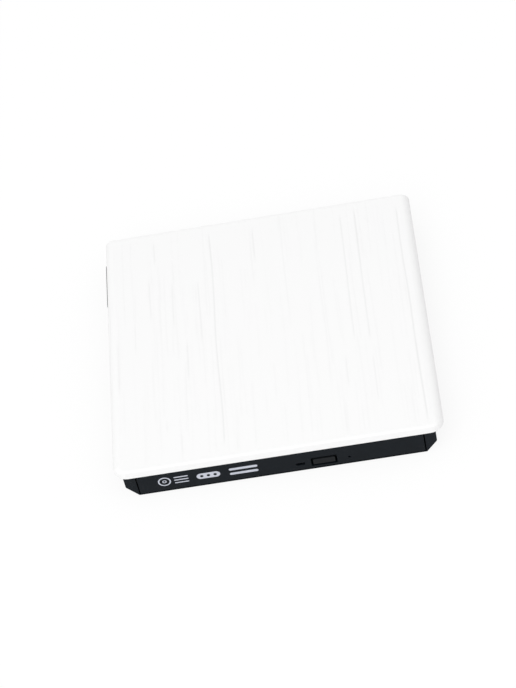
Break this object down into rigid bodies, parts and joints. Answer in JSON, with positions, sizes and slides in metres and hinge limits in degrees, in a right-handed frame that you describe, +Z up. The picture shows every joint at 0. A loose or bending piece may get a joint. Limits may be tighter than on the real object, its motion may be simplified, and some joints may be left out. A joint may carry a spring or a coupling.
{
  "type": "external disc drive",
  "caption": "Slim external disc drive: a flat pale cover over a dark chamfered base, with a disc tray that slides out of the front on telescopic rails.",
  "frame": {"origin": "on the table under the middle of the housing", "axes": "+Z up; the tray comes out towards -Y; +X to the right seen from the front"},
  "size_m": [0.1482, 0.1436, 0.0185],
  "materials": {
    "white_cover": "satin, faint grain",
    "black_housing": "satin",
    "dark_button": "satin",
    "black_tray": "fine matt",
    "black_rubber": "matt",
    "zinc_steel": "zinc plated",
    "bright_steel": "ground",
    "black_steel": "black oxide",
    "cast_alloy": "cast",
    "bearing_bronze": "sintered",
    "copper_winding": "enamelled",
    "board": "solder mask",
    "chip_black": "moulded",
    "switch_steel": "plated",
    "ivory_plastic": "moulded",
    "amber_film": "polyimide film",
    "clear_acrylic": "clear",
    "lens_glass": "coated"
  },
  "bodies": {
    "housing": {"top_cover": "white_cover", "base_shell": "black_housing", "rubber_feet": "black_rubber", "housing_screws": "black_steel", "port_hood": "black_housing", "usb_shell": "zinc_steel", "usb_tongue": "chip_black", "bridge_board": "board", "bridge_chips": "chip_black", "sata_coupler": "chip_black", "drive_pan": "zinc_steel", "drive_lid": "zinc_steel", "left_rail_guide": "black_tray", "right_rail_guide": "black_tray", "drive_board": "board", "drive_chips": "chip_black", "sata_plug": "chip_black", "latch_post": "black_steel", "ejector_bracket": "zinc_steel", "flex_cable": "amber_film"},
    "ejector": {"ejector_rod": "black_steel", "ejector_spring": "bright_steel"},
    "left_rail": {"left_rail": "zinc_steel"},
    "right_rail": {"right_rail": "zinc_steel"},
    "tray": {"tray": "black_tray", "front_bezel": "black_housing", "led_window": "clear_acrylic", "button_board": "board", "eject_switch": "switch_steel", "solenoid": "copper_winding", "flex_connector": "ivory_plastic", "traverse_frame": "cast_alloy", "traverse_cover": "black_steel", "traverse_shield": "black_steel", "damper_bushes": "black_rubber", "damper_screws": "bright_steel", "guide_rods": "bright_steel", "sled_motor": "zinc_steel", "spindle_plate": "zinc_steel", "spindle_bearing": "bearing_bronze", "stator": "copper_winding"},
    "button": {"eject_button": "dark_button"},
    "spindle": {"spindle_shaft": "bright_steel", "turntable": "zinc_steel", "turntable_pad": "black_rubber", "centre_hub": "black_tray", "hub_claws": "ivory_plastic"},
    "pickup": {"pickup_body": "cast_alloy", "lead_follower": "ivory_plastic", "focus_magnets": "zinc_steel"},
    "lens": {"lens_holder": "black_tray", "objective_lens": "lens_glass"},
    "lead_screw": {"lead_screw": "bright_steel"},
    "latch": {"latch_lever": "black_steel"}
  },
  "joints": [
    {"name": "tray_slide", "type": "slide", "parent": "housing", "child": "tray", "axis": [0, -1, 0], "range_m": [0, 0.128], "deforming": ["flex_cable"]},
    {"name": "left_rail_slide", "type": "slide", "parent": "housing", "child": "left_rail", "axis": [0, -1, 0], "range_m": [0, 0.064]},
    {"name": "right_rail_slide", "type": "slide", "parent": "housing", "child": "right_rail", "axis": [0, -1, 0], "range_m": [0, 0.064]},
    {"name": "ejector_slide", "type": "slide", "parent": "housing", "child": "ejector", "axis": [0, -1, 0], "range_m": [0, 0.008], "deforming": ["ejector_spring"]},
    {"name": "eject_button_press", "type": "slide", "parent": "tray", "child": "button", "axis": [0, 1, 0], "range_m": [0, 0.0008], "stiffness_N_per_m": 300},
    {"name": "latch_swing", "type": "hinge", "parent": "tray", "child": "latch", "pos_m": [0.0515, -0.061, 0.0054], "axis": [0, 0, 1], "range_deg": [0, 10]},
    {"name": "spindle_spin", "type": "hinge", "parent": "tray", "child": "spindle", "pos_m": [0, -0.00595, 0.009], "axis": [0, 0, 1], "continuous": true},
    {"name": "pickup_slide", "type": "slide", "parent": "tray", "child": "pickup", "axis": [-0.7071, -0.7071, 0], "range_m": [0, 0.035]},
    {"name": "lead_screw_spin", "type": "hinge", "parent": "tray", "child": "lead_screw", "pos_m": [0.01577, -0.02172, 0.0058], "axis": [-0.7071, -0.7071, 0], "range_deg": [0, 4200]},
    {"name": "lens_focus", "type": "slide", "parent": "pickup", "child": "lens", "axis": [0, 0, 1], "range_m": [-0.00025, 0.00025], "stiffness_N_per_m": 60}
  ],
  "couplings": [
    {"joint": "left_rail_slide", "follows": "tray_slide", "ratio": 0.5},
    {"joint": "right_rail_slide", "follows": "tray_slide", "ratio": 0.5},
    {"joint": "ejector_slide", "follows": "tray_slide", "ratio": 0.0625},
    {"joint": "lead_screw_spin", "follows": "pickup_slide", "rad_per_m": 2094.4}
  ]
}
